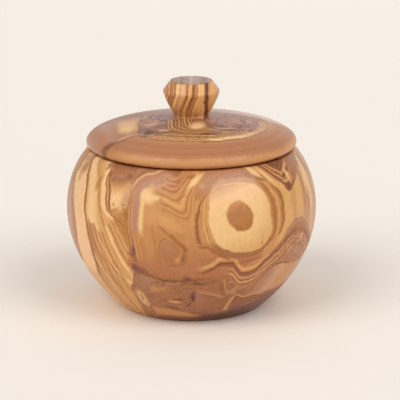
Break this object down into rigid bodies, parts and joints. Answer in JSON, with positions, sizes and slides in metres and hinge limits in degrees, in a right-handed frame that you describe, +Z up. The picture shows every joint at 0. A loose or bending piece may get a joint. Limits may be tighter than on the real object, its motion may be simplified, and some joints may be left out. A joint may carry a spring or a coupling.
{
  "type": "spice jar",
  "caption": "Round-bellied turned wooden spice jar with a domed lift-off lid and a flared knob, for keeping spices, salt or sugar.",
  "frame": {"origin": "centre of the foot on the surface the jar stands on", "axes": "+Z up along the turning axis, which the bowl, the lid and the knob share; -Y towards the side the picture shows"},
  "size_m": [0.1, 0.1, 0.091],
  "materials": {
    "bowl_wood": "satin oiled",
    "lid_wood": "satin oiled",
    "knob_wood": "satin oiled"
  },
  "bodies": {
    "bowl": {"bowl": "bowl_wood"},
    "lid": {"lid": "lid_wood", "knob": "knob_wood"}
  },
  "joints": [
    {"name": "lid_lift", "type": "slide", "parent": "bowl", "child": "lid", "axis": [0, 0, 1], "range_m": [0, 0.08]}
  ]
}
